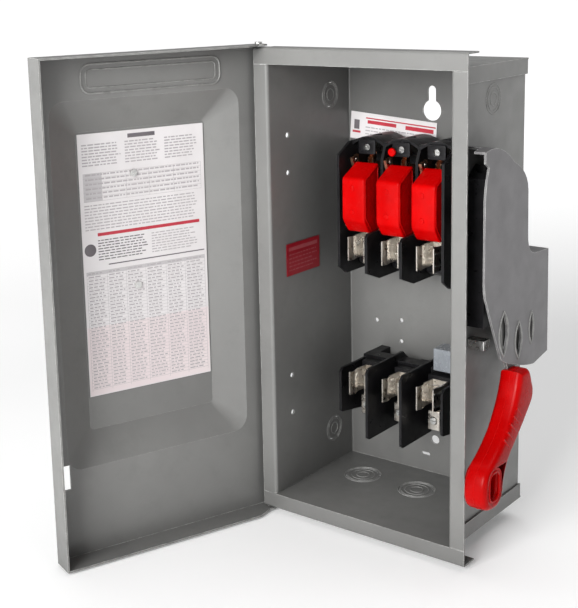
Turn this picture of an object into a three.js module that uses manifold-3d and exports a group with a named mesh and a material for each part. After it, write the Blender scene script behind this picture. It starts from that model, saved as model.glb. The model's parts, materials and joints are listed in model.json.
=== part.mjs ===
// Three-pole fusible disconnect box: a sheet-steel enclosure with a swung-open door,
// two insulating bases with fuse clips, a rotor with three red blade carriers, and a
// guarded side handle that turns the rotor.
//
// Millimetres, +Z up. The origin is the centre of the flat back face, the door side
// faces -Y and the handle is on the +X side.
import * as THREE from 'three';
import { mergeVertices } from 'three/addons/utils/BufferGeometryUtils.js';
import Module from 'manifold-3d';

const wasm = await Module();
wasm.setup();

// ---------------------------------------------------------------- driving dimensions
const GAP = 0.3; // clearance between touching pieces
const SHEET = 1.5; // steel sheet thickness
const BEND = 1.5; // inner radius of the enclosure's bends

const HALF_W = 91; // half the inner width of the enclosure
const HALF_H = 200; // half the inner height
const DEPTH = 128; // back face to front flange face
const FLANGE = 15; // outward front flange, measured from the inner wall
const LIP = 18; // rearward return of the top and bottom flanges
const CAP_LAP = 12; // how far the end caps lap down the side walls

const DOOR = { halfW: 107.75, halfH: 217.5, face: -DEPTH - 5, flange: 24.5, openDeg: 110, bend: 2.5 };
const PAN = { x0: -58, x1: 65, z0: -110, z1: 152, slope: 28, depth: 14, floorCorner: 4, rimCorner: 14 };
const HINGE = { x: -103.5, y: -123.5, pinR: 1.5, earR: 8 };

const POLES = [-36, 0, 36]; // x of the three pole centres
const POLE_HALF = 18;

const ROTOR = { y: -48, z: 76, shaftR: 6.5, bladeR: 39, tipR: 34 };
const CRANK = { x0: 81, x1: 84, radius: 26, pinR: 3, restDeg: -22, throwDeg: 44, pinEnd: 97 };
const LINE = { top: 127, blockTop: 112, bottom: 5, back: -SHEET - GAP, wall: -15 };
const LOAD = { top: -81.5, bottom: -140, wall: -34, back: -SHEET - GAP };
const FUSE_CLIP = { halfW: 8, front: -74, rear: -46, depth: 22 };
const BARRIER = 2.6; // thickness of the insulating barriers
const LUG = { halfW: 6, wireR: 3.8, wireBack: 6.5, screwR: 3.4 };
const LINE_LUG = { front: -52, rear: -30, z0: 117, z1: 127 };
const LOAD_LUG = { front: -58, rear: -38, z0: -131, z1: -113 };

const HANDLE = { y: -72, z: 36, pinR: 5, armX: 112.3, armT: 3 };
const GUARD = { x: 117, t: 1.8 };
const GRIP = { x0: 109.5, x1: 130.5 };

// ---------------------------------------------------------------- colours
const PAINT = { color: 0x868886, roughness: 0.55, metalness: 0.1 };
const BLACK = { color: 0x1b1a1c, roughness: 0.4, metalness: 0 };
const RED = { color: 0xd8101a, roughness: 0.3, metalness: 0 };
const TIN = { color: 0xb5aca0, roughness: 0.35, metalness: 0.9 };
const ZINC = { color: 0xc9c9c4, roughness: 0.35, metalness: 0.9 };
const COPPER = { color: 0xb0785a, roughness: 0.35, metalness: 0.9 };
const PAPER = { color: 0xece6e6, roughness: 0.6, metalness: 0 };
const LABEL_RED = { color: 0x8c1420, roughness: 0.5, metalness: 0 };
const CLEAR = { color: 0xcfdce2, roughness: 0.3, metalness: 0 };

// ---------------------------------------------------------------- solids
function toSolid(geometry) {
  geometry.deleteAttribute('normal');
  geometry.deleteAttribute('uv');
  const merged = mergeVertices(geometry, 1e-4);
  return new wasm.Manifold(new wasm.Mesh({
    numProp: 3,
    vertProperties: new Float32Array(merged.attributes.position.array),
    triVerts: new Uint32Array(merged.index.array),
  }));
}

function toGeometry(solid) {
  const mesh = solid.getMesh();
  const geometry = new THREE.BufferGeometry();
  geometry.setAttribute('position', new THREE.BufferAttribute(new Float32Array(mesh.vertProperties), 3));
  geometry.setIndex(new THREE.BufferAttribute(new Uint32Array(mesh.triVerts), 1));
  geometry.computeVertexNormals();
  return geometry;
}

function block(x0, x1, y0, y1, z0, z1) {
  const geometry = new THREE.BoxGeometry(x1 - x0, y1 - y0, z1 - z0);
  geometry.translate((x0 + x1) / 2, (y0 + y1) / 2, (z0 + z1) / 2);
  return toSolid(geometry);
}

// Where the shape's own x, y and depth directions go, for each direction of extrusion.
const SWEEPS = {
  x: [[0, 1, 0], [0, 0, 1], [1, 0, 0]],
  y: [[1, 0, 0], [0, 0, 1], [0, -1, 0]],
  z: [[1, 0, 0], [0, 1, 0], [0, 0, 1]],
};

function place(geometry, axis, lo, hi) {
  const [u, v, w] = SWEEPS[axis].map((a) => new THREE.Vector3(...a));
  geometry.applyMatrix4(new THREE.Matrix4().makeBasis(u, v, w));
  const start = axis === 'y' ? hi : lo;
  geometry.translate(axis === 'x' ? start : 0, axis === 'y' ? start : 0, axis === 'z' ? start : 0);
  return geometry;
}

// A flat outline swept along one axis. The outline is in (y, z) for x, (x, z) for y, (x, y) for z.
function prism(shape, axis, lo, hi, segments = 6) {
  const outline = Array.isArray(shape) ? new THREE.Shape(shape.map((p) => new THREE.Vector2(...p))) : shape;
  const options = { depth: hi - lo, bevelEnabled: false, curveSegments: segments };
  return toSolid(place(new THREE.ExtrudeGeometry(outline, options), axis, lo, hi));
}

function rod(radius, axis, u, v, lo, hi, segments = 16) {
  const shape = new THREE.Shape();
  shape.absarc(u, v, radius, 0, 2 * Math.PI);
  return prism(shape, axis, lo, hi, segments);
}

function roundedRect(u0, u1, v0, v1, r) {
  const shape = new THREE.Shape();
  shape.moveTo(u0 + r, v0);
  shape.lineTo(u1 - r, v0);
  shape.absarc(u1 - r, v0 + r, r, -Math.PI / 2, 0);
  shape.lineTo(u1, v1 - r);
  shape.absarc(u1 - r, v1 - r, r, 0, Math.PI / 2);
  shape.lineTo(u0 + r, v1);
  shape.absarc(u0 + r, v1 - r, r, Math.PI / 2, Math.PI);
  shape.lineTo(u0, v0 + r);
  shape.absarc(u0 + r, v0 + r, r, Math.PI, 1.5 * Math.PI);
  return shape;
}

// The section of a bent sheet: its centreline with every corner rounded, thickened to both sides.
function bentSheet(corners, thickness, insideRadius, steps = 4) {
  const radius = insideRadius + thickness / 2;
  const points = corners.map((corner) => new THREE.Vector2(...corner));
  const left = [];
  const right = [];
  const addPair = (point, direction) => {
    const side = new THREE.Vector2(-direction.y, direction.x).multiplyScalar(thickness / 2);
    left.push(point.clone().add(side));
    right.push(point.clone().sub(side));
  };
  const directions = points.slice(1).map((point, i) => point.clone().sub(points[i]).normalize());
  addPair(points[0], directions[0]);
  for (let i = 1; i < points.length - 1; i++) {
    const [before, after] = [directions[i - 1], directions[i]];
    const turn = Math.atan2(before.cross(after), before.dot(after));
    const run = radius * Math.tan(Math.abs(turn) / 2);
    const start = points[i].clone().addScaledVector(before, -run);
    const toCentre = new THREE.Vector2(-before.y, before.x).multiplyScalar(Math.sign(turn) * radius);
    const centre = start.clone().add(toCentre);
    for (let k = 0; k <= steps; k++) {
      const angle = (turn * k) / steps;
      const spoke = toCentre.clone().negate().rotateAround(new THREE.Vector2(), angle);
      addPair(centre.clone().add(spoke), before.clone().rotateAround(new THREE.Vector2(), angle));
    }
  }
  addPair(points[points.length - 1], directions[directions.length - 1]);
  return new THREE.Shape([...left, ...right.reverse()]);
}

const join = (...solids) => solids.reduce((a, b) => a.add(b));
const cut = (solid, ...tools) => tools.reduce((a, b) => a.subtract(b), solid);

// ---------------------------------------------------------------- scene graph
const group = new THREE.Group();
const doorGroup = new THREE.Group();
doorGroup.position.set(HINGE.x, HINGE.y, 0);
doorGroup.rotation.z = THREE.MathUtils.degToRad(-DOOR.openDeg);
group.add(doorGroup);

function add(name, solid, finish, parent = group) {
  const mesh = new THREE.Mesh(toGeometry(solid), new THREE.MeshStandardMaterial(finish));
  mesh.name = name;
  parent.add(mesh);
}

// Door pieces are drawn shut and hung on the turned door group.
function addDoor(name, solid, finish) {
  add(name, solid.translate([-HINGE.x, -HINGE.y, 0]), finish, doorGroup);
}

// ---------------------------------------------------------------- enclosure
const SIDE_HOLES = { y: -100.5, r: 2.4, z: [134.9, 100.6, -91.3, -127.6] };
const REAR_HOLES = [[-61, -57], [-33, -53], [-33, -74]];
const KEYHOLE = { z: 151.5, r: 9.5, slot: 4, top: 174 };
const KNOCKOUT = { r: 11, slit: 0.4 };
const SIDE_KNOCKOUTS = [165, -165];
const END_KNOCKOUTS = [[-50, -44, 16], [10, -44, 16]];

// The arc that the crank's drive pin sweeps, with some clearance all round.
function crankSlot(clearance, x0, x1) {
  const reach = CRANK.pinR + clearance;
  const margin = THREE.MathUtils.radToDeg(reach / CRANK.radius);
  const start = THREE.MathUtils.degToRad(180 - (CRANK.restDeg - margin));
  const end = THREE.MathUtils.degToRad(180 - (CRANK.restDeg + CRANK.throwDeg + margin));
  const shape = new THREE.Shape();
  shape.absarc(ROTOR.y, ROTOR.z, CRANK.radius + reach, start, end, true);
  shape.absarc(ROTOR.y, ROTOR.z, CRANK.radius - reach, end, start, false);
  return prism(shape, 'x', x0, x1, 8);
}

function enclosureWrap() {
  const outer = HALF_W + SHEET;
  const edge = HALF_W + FLANGE;
  const mid = HALF_W + SHEET / 2;
  const face = -DEPTH + SHEET / 2;
  const back = -SHEET / 2;
  const centreline = [[-edge, face], [-mid, face], [-mid, back], [mid, back], [mid, face], [edge, face]];
  let body = prism(bentSheet(centreline, SHEET, BEND), 'z', -HALF_H, HALF_H);
  for (const z of SIDE_HOLES.z) {
    body = body.subtract(rod(SIDE_HOLES.r, 'x', SIDE_HOLES.y, z, -outer - 1, -HALF_W + 1, 10));
  }
  for (const z of SIDE_KNOCKOUTS) {
    body = body.subtract(rod(KNOCKOUT.r + KNOCKOUT.slit, 'x', -33, z, -outer - 1, -HALF_W + 1, 20));
  }
  for (const [x, z] of REAR_HOLES) {
    body = body.subtract(rod(2, 'y', x, z, -SHEET - 1, 1, 10));
  }
  const keyhole = join(
    rod(KEYHOLE.r, 'y', 0, KEYHOLE.z, -SHEET - 1, 1, 20),
    rod(KEYHOLE.slot, 'y', 0, KEYHOLE.top - KEYHOLE.slot, -SHEET - 1, 1, 12),
    block(-KEYHOLE.slot, KEYHOLE.slot, -SHEET - 1, 1, KEYHOLE.z, KEYHOLE.top - KEYHOLE.slot),
  );
  const lowerHole = rod(4.2, 'y', 5, -166, -SHEET - 1, 1, 12);
  const lowerSlot = prism(roundedRect(-10, -1, -184, -181, 1.4), 'y', -SHEET - 1, 1, 3);
  return cut(body, keyhole, lowerHole, lowerSlot, crankSlot(1, HALF_W - 1, outer + 1));
}

// The upper end cap: a plate with side laps, a front flange and a rearward lip.
function endCap() {
  const plateZ = HALF_H + GAP;
  const edge = HALF_W + FLANGE;
  const lapIn = HALF_W + SHEET + GAP;
  const lapOut = lapIn + SHEET;
  const rim = HALF_H + FLANGE;
  const lapFront = -DEPTH + SHEET + BEND + GAP;
  let cap = join(
    block(-lapOut, lapOut, -DEPTH + SHEET + GAP, 0, plateZ, plateZ + SHEET),
    block(-lapOut, -lapIn, lapFront, -1, HALF_H - CAP_LAP, plateZ + SHEET),
    block(lapIn, lapOut, lapFront, -1, HALF_H - CAP_LAP, plateZ + SHEET),
    block(-edge, edge, -DEPTH, -DEPTH + SHEET, plateZ, rim),
    block(-lapOut, lapOut, -DEPTH + SHEET - 0.5, -DEPTH + SHEET + 1, plateZ, plateZ + SHEET),
    block(-edge, edge, -DEPTH, -DEPTH + LIP, rim - SHEET, rim),
  );
  const hingeNotch = block(-edge - 1, HINGE.x + 7.5, -DEPTH + 12, -DEPTH + LIP + 1, rim - SHEET - 1, rim + 1);
  const pinHole = rod(HINGE.pinR + GAP, 'z', HINGE.x, HINGE.y, rim - SHEET - 1, rim + 1, 10);
  const roundedFront = prism(roundedRect(-DEPTH, 10, 0, rim, 2.5), 'x', -edge - 1, edge + 1, 4);
  cap = cut(cap, hingeNotch, pinHole).intersect(roundedFront);
  for (const [x, y, r] of END_KNOCKOUTS) {
    cap = cap.subtract(rod(r + KNOCKOUT.slit, 'z', x, y, plateZ - 1, plateZ + SHEET + 1, 20));
  }
  return cap;
}

add('enclosure_wrap', enclosureWrap(), PAINT);
add('top_end_cap', endCap(), PAINT);
add('bottom_end_cap', endCap().mirror([0, 0, 1]), PAINT);

END_KNOCKOUTS.forEach(([x, y, r], i) => {
  const z = HALF_H + GAP;
  add(`top_knockout_${i + 1}`, rod(r, 'z', x, y, z, z + SHEET, 20), PAINT);
  add(`bottom_knockout_${i + 1}`, rod(r, 'z', x, y, -z - SHEET, -z, 20), PAINT);
});
SIDE_KNOCKOUTS.forEach((z, i) => {
  add(`side_knockout_${i + 1}`, rod(KNOCKOUT.r, 'x', -33, z, -HALF_W - SHEET, -HALF_W, 20), PAINT);
});

// ---------------------------------------------------------------- door
// The pressed pan: its sides slope from the flat floor out to a rounded rectangle on the door face.
function panFrustum(face) {
  const loop = (grow, corner, y) => {
    const outline = roundedRect(PAN.x0 - grow, PAN.x1 + grow, PAN.z0 - grow, PAN.z1 + grow, corner);
    return outline.getPoints(5).slice(0, -1).map((point) => new THREE.Vector3(point.x, y, point.y));
  };
  const floor = loop(0, PAN.floorCorner, face - PAN.depth);
  const rim = loop(PAN.slope, PAN.rimCorner, face);
  const mouth = loop(PAN.slope, PAN.rimCorner, face + 1);
  const points = [...floor, ...rim, ...mouth];
  const n = floor.length;
  const index = [];
  for (let i = 0; i < n; i++) {
    const j = (i + 1) % n;
    for (const base of [0, n]) {
      index.push(base + i, base + n + j, base + j, base + i, base + n + i, base + n + j);
    }
  }
  for (let i = 1; i < n - 1; i++) {
    index.push(0, i, i + 1, 2 * n, 2 * n + i + 1, 2 * n + i);
  }
  const geometry = new THREE.BufferGeometry().setFromPoints(points);
  geometry.setIndex(index);
  return toSolid(geometry);
}

const HEM_END = HALF_H + FLANGE - SHEET - 1.5; // the hinge-side hem stops short of the cap lips

function doorPanel() {
  const { halfW, halfH, face, flange } = DOOR;
  const inner = face + SHEET;
  const rim = face + flange;
  const slot = block(91.5, 103, face - 1, inner + 1, -153.5, -131.5);
  const flangeOutline = [
    [-halfW, face], [halfW, face], [halfW, rim], [-HALF_W + 6, rim], [-halfW, HINGE.y + 3],
  ];
  const ear = rod(HINGE.earR, 'z', HINGE.x, HINGE.y, halfH - SHEET, halfH, 14);
  const topFlange = join(prism(flangeOutline, 'z', halfH - SHEET, halfH), ear);
  const pinHole = rod(HINGE.pinR + GAP, 'z', HINGE.x, HINGE.y, -halfH - 1, halfH + 1, 10);
  const shell = join(
    block(-halfW, halfW, face, inner, -halfH, halfH),
    block(halfW - SHEET, halfW, face, rim, -halfH, halfH),
    block(-halfW, -halfW + SHEET, face, face + 4, -HEM_END, HEM_END),
    topFlange,
    topFlange.mirror([0, 0, 1]),
    panFrustum(face),
  );
  const { bend } = DOOR;
  const tall = face - PAN.depth - 5;
  const roundX = prism(roundedRect(-halfW - 20, halfW, face, 10, bend), 'z', -halfH - 1, halfH + 1, 4);
  const roundZ = prism(roundedRect(face, 10, -halfH, halfH, bend), 'x', -halfW - 1, halfW + 1, 4);
  const proud = block(-halfW + 10, halfW - 10, tall, face, -halfH + 10, halfH - 10);
  const rounded = join(roundX.intersect(roundZ), proud);
  return cut(shell, panFrustum(inner), slot, pinHole).intersect(rounded);
}

const PAN_FLOOR = DOOR.face + SHEET - PAN.depth;
const DOOR_LABEL = { x0: -56.5, x1: 63.5, z0: -80, z1: 150, t: 0.4 };
const LABEL_RIVETS = [[13.3, 112.5], [13.3, 13.5]];

addDoor('door_panel', doorPanel(), PAINT);

function doorLabel() {
  const { x0, x1, z0, z1, t } = DOOR_LABEL;
  const front = PAN_FLOOR + GAP;
  const holes = LABEL_RIVETS.map(([x, z]) => rod(2, 'y', x, z, front - 1, front + t + 1, 8));
  return cut(block(x0, x1, front, front + t, z0, z1), ...holes);
}
addDoor('door_label', doorLabel(), PAPER);

LABEL_RIVETS.forEach(([x, z], i) => {
  const head = PAN_FLOOR + GAP + DOOR_LABEL.t + GAP;
  const rivet = join(
    rod(3.2, 'y', x, z, head, head + 1.4, 12),
    rod(1.5, 'y', x, z, PAN_FLOOR + GAP, head + 0.5, 8),
  );
  addDoor(`label_rivet_${i + 1}`, rivet, ZINC);
});

for (const [name, sign] of [['hinge_pin_top', 1], ['hinge_pin_bottom', -1]]) {
  const lipIn = HALF_H + FLANGE - SHEET - GAP;
  const headZ = DOOR.halfH + GAP;
  const pin = join(
    rod(HINGE.pinR, 'z', HINGE.x, HINGE.y, lipIn - 1.5, headZ + 0.5, 10),
    rod(3.4, 'z', HINGE.x, HINGE.y, headZ, headZ + 1.6, 12),
    rod(2.6, 'z', HINGE.x, HINGE.y, lipIn - 1.5, lipIn, 12),
  );
  add(name, sign > 0 ? pin : pin.mirror([0, 0, 1]), ZINC);
}

// ---------------------------------------------------------------- labels inside
const LABEL_T = 0.4;
const SIDE_LABEL = { y0: -106, y1: -55, z0: 4.5, z1: 34.5 };
const REAR_LABEL = { halfW: 47, halfH: 13, x: -42, z: 130.5, tiltDeg: 4 };

function sideLabel() {
  const { y0, y1, z0, z1 } = SIDE_LABEL;
  return block(-HALF_W + GAP, -HALF_W + GAP + LABEL_T, y0, y1, z0, z1);
}

// The rear label is stuck on slightly crooked.
function rearLabel() {
  const { halfW, halfH, x, z, tiltDeg } = REAR_LABEL;
  const flat = block(-halfW, halfW, -SHEET - GAP - LABEL_T, -SHEET - GAP, -halfH, halfH);
  return flat.rotate([0, tiltDeg, 0]).translate([x, 0, z]);
}
add('side_label', sideLabel(), LABEL_RED);
add('rear_label', rearLabel(), PAPER);

// ---------------------------------------------------------------- line base (upper)
function lineBase() {
  const { top, blockTop, bottom, back, wall } = LINE;
  const half = 3 * POLE_HALF + BARRIER / 2;
  const rear = wall + 1;
  const innerRib = [
    [rear, bottom], [-65, bottom], [-85, 13], [-85, 46], [-82, 49],
    [-58, 49], [-58, 112], [-52, top], [rear, top],
  ];
  const outerRib = [
    [rear, bottom], [-64, bottom], [-75, 13], [-75, 116], [-57, top - 1], [-50, top], [rear, top],
  ];
  let body = block(-half, half, wall, back, bottom, blockTop);
  for (let i = 0; i <= POLES.length; i++) {
    const x = (2 * i - POLES.length) * POLE_HALF;
    const rib = i === 0 || i === POLES.length ? outerRib : innerRib;
    body = body.add(prism(rib, 'x', x - BARRIER / 2, x + BARRIER / 2));
  }
  for (const x of POLES) {
    const arch = new THREE.Shape();
    arch.moveTo(x - POLE_HALF, top - 2);
    arch.quadraticCurveTo(x, top + 11, x + POLE_HALF, top - 2);
    arch.lineTo(x + POLE_HALF, top - 4.5);
    arch.quadraticCurveTo(x, top + 8.5, x - POLE_HALF, top - 4.5);
    const lugSeat = block(x - LUG.halfW, x + LUG.halfW, LINE_LUG.rear + GAP, rear, 106, LINE_LUG.z1);
    const wireHole = rod(LUG.wireR + 0.8, 'z', x, LINE_LUG.rear - LUG.wireBack, LINE_LUG.z1, top + 8, 14);
    body = join(body, prism(arch, 'y', -53, rear, 6), lugSeat).subtract(wireHole);
  }
  const bore = rod(ROTOR.shaftR + 0.6, 'x', ROTOR.y, ROTOR.z, -half - 1, half + 1, 16);
  return body.subtract(bore);
}
add('line_base', lineBase(), BLACK);

// The block that stands between two barriers and carries an upper fuse clip.
function clipHolder(x) {
  const side = [[LINE.wall - GAP, 8], [LINE.wall - GAP, 44], [-40, 46], [-45.4, 42], [-45.4, 12], [-38, 8]];
  return prism(side, 'x', x - POLE_HALF + BARRIER, x + POLE_HALF - BARRIER);
}

// A spring clip for a round fuse standing along Z: two bowed leaves on a rear plate.
function fuseClip(x, z0) {
  const { halfW: half, front, rear, depth } = FUSE_CLIP;
  const t = 1.2;
  const mid = (front + rear) / 2;
  const leaf = (s) => [
    [x + s * half, rear], [x + s * (half + 1.2), mid], [x + s * (half - 1), front + 5],
    [x + s * (half + 1), front], [x + s * (half + 1 - t), front], [x + s * (half - 1 - t), front + 5],
    [x + s * (half + 1.2 - t), mid], [x + s * (half - t), rear],
  ];
  return join(
    prism(leaf(1), 'z', z0, z0 + depth),
    prism(leaf(-1).reverse(), 'z', z0, z0 + depth),
    block(x - half, x + half, rear - t, rear, z0, z0 + depth),
  );
}

// A box lug with a wire hole along Z and a set screw in its front face.
function lug(x, front, rear, z0, z1) {
  const mid = (z0 + z1) / 2;
  const wire = rod(LUG.wireR, 'z', x, rear - LUG.wireBack, z0 - 1, z1 + 1, 14);
  const screwHole = rod(LUG.screwR, 'y', x, mid, front - 1, rear - LUG.wireBack, 12);
  return cut(block(x - LUG.halfW, x + LUG.halfW, front, rear, z0, z1), wire, screwHole);
}

// The lug's slotted set screw.
function lugScrew(x, front, rear, z) {
  const tip = rear - LUG.wireBack - LUG.wireR - 1;
  const body = rod(LUG.screwR - GAP, 'y', x, z, front - 1.2, tip, 12);
  return body.subtract(block(x - 3, x + 3, front - 2, front + 0.6, z - 0.5, z + 0.5));
}

// A jaw on the base that the blade's upper end swings into.
const BLADE = { left: -13.4, t: 2.6 };
function lineJaw(x) {
  const x0 = x + BLADE.left;
  const leaf = [[LINE.wall - GAP, 92], [LINE.wall - GAP, 112], [-26, 112], [-31, 108], [-31, 100], [-24, 92]];
  return join(
    prism(leaf, 'x', x0 - 1.5, x0 - 0.5),
    prism(leaf, 'x', x0 + BLADE.t + 0.5, x0 + BLADE.t + 1.5),
    block(x0 - 1.5, x0 + BLADE.t + 1.5, -18.5, LINE.wall - GAP, 92, 112),
  );
}

POLES.forEach((x, i) => {
  const n = i + 1;
  const { front, rear, z0, z1 } = LINE_LUG;
  add(`line_clip_holder_${n}`, clipHolder(x), BLACK);
  add(`line_fuse_clip_${n}`, fuseClip(x, 19.5), TIN);
  add(`line_lug_${n}`, lug(x, front, rear, z0, z1), TIN);
  add(`line_lug_screw_${n}`, lugScrew(x, front, rear, (z0 + z1) / 2), ZINC);
  add(`line_jaw_${n}`, lineJaw(x), COPPER);
});

// ---------------------------------------------------------------- load base (lower)
function loadBase() {
  const { top, bottom, wall, back } = LOAD;
  const half = 3 * POLE_HALF + BARRIER / 2;
  const foot = 10;
  const rear = wall + 1;
  const tall = [
    [rear, -144], [-83, -144], [-86, -142], [-86, -80], [-82, -75.8], [-24, -75.2], [-12, -86], [rear, -88],
  ];
  const low = [[rear, -134], [-74, -127.5], [-75.5, -126], [-75.5, -88], [-72, -84.5], [rear, -84.5]];
  let body = join(
    block(-half, half, wall, -20, bottom, top),
    block(-half, -half + foot, -21, back, bottom, top),
    block(half - foot, half, -21, back, bottom, top),
    block(-foot, foot, -21, back, bottom, top - 6),
  );
  for (let i = 0; i <= POLES.length; i++) {
    const x = (2 * i - POLES.length) * POLE_HALF;
    const outline = i === 0 || i === POLES.length ? low : tall;
    body = body.add(prism(outline, 'x', x - BARRIER / 2, x + BARRIER / 2));
  }
  for (const x of POLES) {
    const clipSeat = block(x - 13, x + 13, FUSE_CLIP.rear + GAP, rear, -112, -84);
    const lugSeat = block(x - LUG.halfW, x + LUG.halfW, LOAD_LUG.rear + GAP, rear, LOAD_LUG.z0, -106);
    body = join(body, clipSeat, lugSeat);
  }
  return body;
}
add('load_base', loadBase(), BLACK);

POLES.forEach((x, i) => {
  const n = i + 1;
  const { front, rear, z0, z1 } = LOAD_LUG;
  add(`load_fuse_clip_${n}`, fuseClip(x, -109), TIN);
  add(`load_lug_${n}`, lug(x, front, rear, z0, z1), TIN);
  add(`load_lug_screw_${n}`, lugScrew(x, front, rear, (z0 + z1) / 2), ZINC);
});

add('terminal_cover', block(25, 43, -40, -21, LOAD.top + GAP, LOAD.top + 21), CLEAR);

// ---------------------------------------------------------------- ground terminal
add('ground_lug', lug(72, -20, -SHEET - GAP, -188, -172), ZINC);

// ---------------------------------------------------------------- rotor
add('rotor_shaft', rod(ROTOR.shaftR, 'x', ROTOR.y, ROTOR.z, -3 * POLE_HALF - 1, CRANK.x1 + 3, 16), BLACK);

function sector(radius, fromDeg, toDeg) {
  const shape = new THREE.Shape();
  const start = THREE.MathUtils.degToRad(180 - fromDeg);
  const end = THREE.MathUtils.degToRad(180 - toDeg);
  shape.moveTo(ROTOR.y, ROTOR.z);
  shape.lineTo(ROTOR.y + radius * Math.cos(start), ROTOR.z + radius * Math.sin(start));
  shape.absarc(ROTOR.y, ROTOR.z, radius, start, end, true);
  return shape;
}

// A flat-fronted shield with sloped upper and lower ends, on a sleeve round the shaft.
function bladeCarrier(x) {
  const halfW = 10.5;
  const hub = ROTOR.shaftR + 4;
  const side = [
    [-80, 62], [-80, 95], [-78, 97], [-57, 108], [-55, 107], [-55, 47], [-57, 46], [-68, 46.5], [-79, 59],
  ];
  const shield = prism(side, 'x', x - halfW, x + halfW);
  const sleeve = rod(hub, 'x', ROTOR.y, ROTOR.z, x - halfW, x + halfW, 20);
  const bore = rod(ROTOR.shaftR + GAP, 'x', ROTOR.y, ROTOR.z, x - halfW - 1, x + halfW + 1, 16);
  return join(shield, sleeve).subtract(bore);
}

function rotorBlade(x) {
  const x0 = x + BLADE.left;
  const x1 = x0 + BLADE.t;
  const hub = ROTOR.shaftR + 4;
  const upper = prism(sector(ROTOR.bladeR, 68, 84), 'x', x0, x1, 4);
  const lower = prism(sector(ROTOR.tipR, -60, -46), 'x', x0, x1, 4);
  const disc = rod(hub, 'x', ROTOR.y, ROTOR.z, x0, x1, 16);
  const bore = rod(ROTOR.shaftR + GAP, 'x', ROTOR.y, ROTOR.z, x0 - 1, x1 + 1, 16);
  return join(upper, lower, disc).subtract(bore);
}

POLES.forEach((x, i) => {
  add(`blade_carrier_${i + 1}`, bladeCarrier(x), RED);
  add(`rotor_blade_${i + 1}`, rotorBlade(x), COPPER);
});

// The crank carries a drive pin that reaches through the arc slot in the side wall.
function rotorCrank() {
  const angle = THREE.MathUtils.degToRad(CRANK.restDeg);
  const pinY = ROTOR.y - CRANK.radius * Math.cos(angle);
  const pinZ = ROTOR.z + CRANK.radius * Math.sin(angle);
  const { x0, x1 } = CRANK;
  const webOutline = [[ROTOR.y, ROTOR.z - 9], [ROTOR.y, ROTOR.z + 9], [pinY, pinZ + 6], [pinY, pinZ - 6]];
  const web = prism(webOutline, 'x', x0, x1);
  const plate = join(
    web,
    rod(11, 'x', ROTOR.y, ROTOR.z, x0, x1, 18),
    rod(6, 'x', pinY, pinZ, x0, x1, 12),
    rod(CRANK.pinR, 'x', pinY, pinZ, x0, CRANK.pinEnd, 10),
  );
  return plate.subtract(rod(ROTOR.shaftR + GAP, 'x', ROTOR.y, ROTOR.z, x0 - 1, x1 + 1, 16));
}
add('rotor_crank', rotorCrank(), ZINC);

// ---------------------------------------------------------------- side mechanism and handle
const wallOut = HALF_W + SHEET + GAP;

const SPRING = { x: 101, y: -92, z0: 24, r: 5.2, turns: 9, pitch: 8 };

function mechanismBody() {
  const outline = [[-104, -12], [-60, -12], [-54, 50], [-54, 92], [-76, 112], [-90, 122], [-104, 112]];
  const body = prism(outline, 'x', wallOut, 109);
  const pinBore = rod(HANDLE.pinR + 0.5, 'x', HANDLE.y, HANDLE.z, 90, 110, 14);
  const springBore = rod(SPRING.r + 0.8, 'z', SPRING.x, SPRING.y, SPRING.z0 - GAP, 130, 14);
  return cut(body, crankSlot(2, 90, CRANK.pinEnd + 1), pinBore, springBore);
}

// The guard is one bent sheet: a plate standing off the wall, with a rim along its top and rear
// that bridges back to the wall. Its front and bottom are open for the handle arm.
function guardRimPath(path) {
  path.moveTo(-121, 137);
  path.quadraticCurveTo(-97, 144, -72, 123);
  path.quadraticCurveTo(-47, 113, -46, 96);
  path.lineTo(-45, 58);
  path.quadraticCurveTo(-45, 40, -30, 39);
  path.lineTo(-5, 38);
  path.lineTo(-3, -55);
  return path;
}

function guardOutline() {
  const s = guardRimPath(new THREE.Shape());
  s.lineTo(-30, -60);
  s.quadraticCurveTo(-52, -57, -64, -51);
  s.quadraticCurveTo(-82, -47, -91, -40);
  s.quadraticCurveTo(-108, -6, -117, 14);
  s.quadraticCurveTo(-121, 20, -121, 34);
  s.lineTo(-121, 98);
  s.quadraticCurveTo(-120, 112, -115, 124);
  s.lineTo(-121, 128);
  return s;
}

function guardRim() {
  const outer = guardRimPath(new THREE.Path()).getPoints(6);
  const inner = outer.map((point, i) => {
    const before = outer[Math.max(i - 1, 0)];
    const after = outer[Math.min(i + 1, outer.length - 1)];
    const along = after.clone().sub(before).normalize();
    return new THREE.Vector2(point.x + along.y * GUARD.t, point.y - along.x * GUARD.t);
  });
  return prism(new THREE.Shape([...outer, ...inner.reverse()]), 'x', wallOut, GUARD.x + GUARD.t);
}

function padlockSlot(y, z, halfH, halfW) {
  const s = new THREE.Shape();
  s.moveTo(y, z - halfH);
  s.quadraticCurveTo(y + 2 * halfW, z, y, z + halfH);
  s.quadraticCurveTo(y - 2 * halfW, z, y, z - halfH);
  return prism(s, 'x', GUARD.x - 1, GUARD.x + GUARD.t + 1, 6);
}

function handleGuard() {
  const plate = prism(guardOutline(), 'x', GUARD.x, GUARD.x + GUARD.t, 6);
  const doorEdge = block(wallOut - 1, DOOR.halfW + 0.5, -DEPTH, DOOR.face + DOOR.flange + 0.7, 100, 150);
  return cut(
    join(plate, guardRim()),
    doorEdge,
    padlockSlot(-87, -19, 18, 7),
    padlockSlot(-60, -31, 15, 5),
    padlockSlot(-36, -26, 13, 3),
  );
}

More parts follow.
